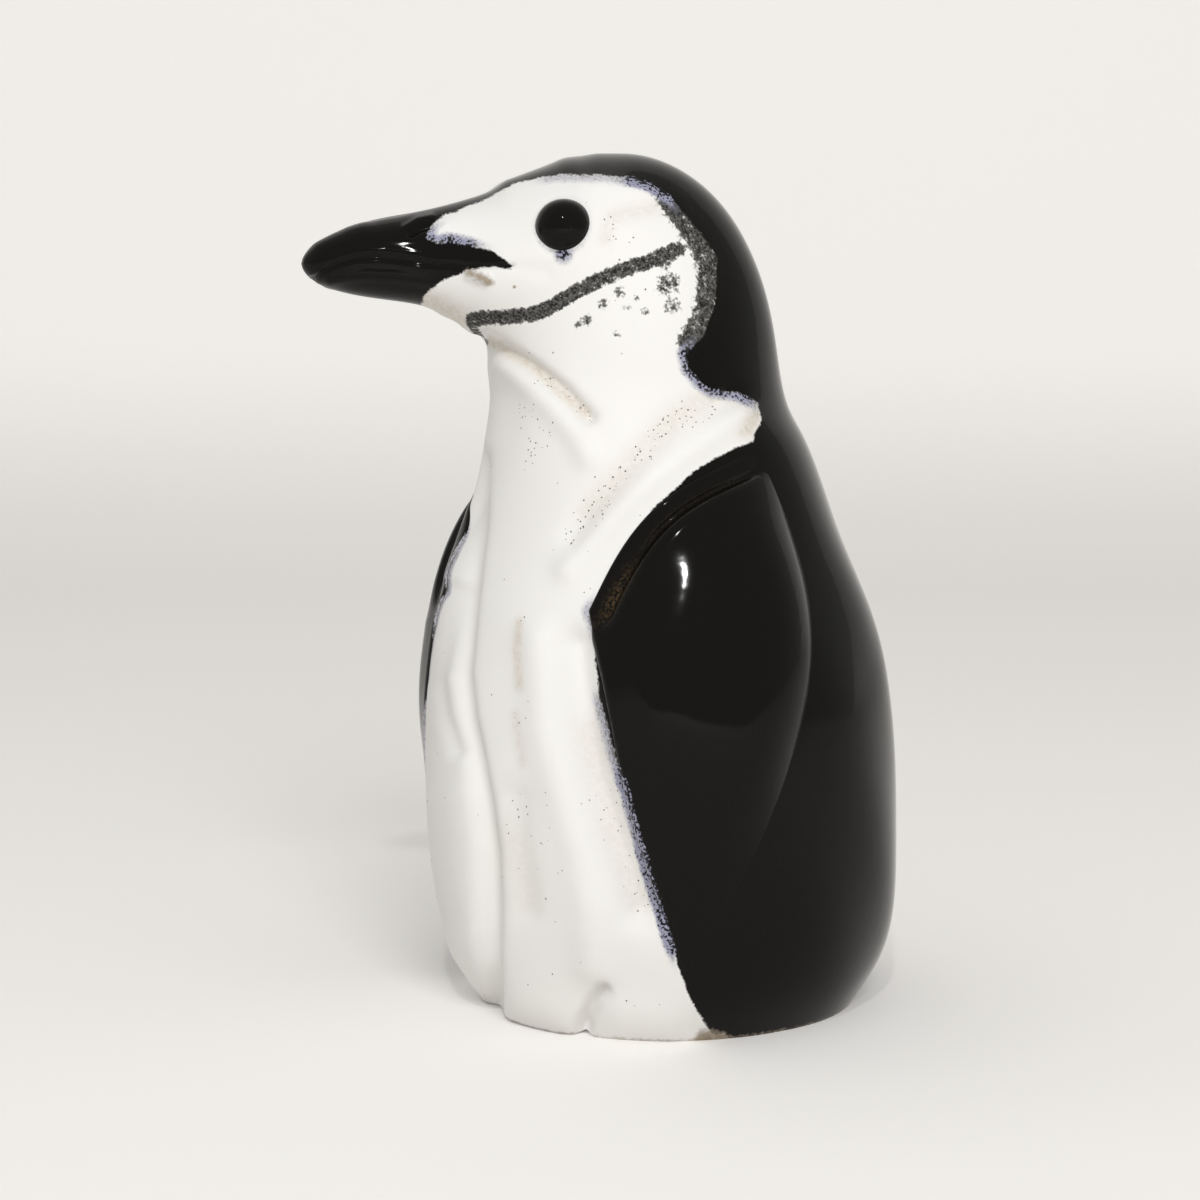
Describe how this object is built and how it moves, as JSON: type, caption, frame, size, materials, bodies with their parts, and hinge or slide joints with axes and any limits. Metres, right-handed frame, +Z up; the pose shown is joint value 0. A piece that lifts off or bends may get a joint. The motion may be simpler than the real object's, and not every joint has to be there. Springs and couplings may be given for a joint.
{
  "type": "penguin figurine",
  "caption": "Hand-built glazed stoneware figurine of a standing penguin with its head turned over its right shoulder, hollow and closed underneath by a slab.",
  "frame": {"origin": "on the table, at the centre of the underside", "axes": "+Z up, -Y out through the breast, +X to the figure's own left"},
  "size_m": [0.061, 0.0701, 0.1048],
  "materials": {
    "white_glaze": "glossy white glaze, brushed over with black on the back and nape",
    "black_glaze": "glossy black glaze",
    "bare_clay": "unglazed fired stoneware, wiped smooth"
  },
  "bodies": {
    "root": {"body_shell": "white_glaze", "base_slab": "bare_clay", "head_shell": "white_glaze", "upper_bill": "black_glaze", "lower_bill": "black_glaze", "left_eye": "black_glaze", "right_eye": "black_glaze", "left_flipper": "black_glaze", "right_flipper": "black_glaze", "tail": "black_glaze"}
  },
  "joints": []
}
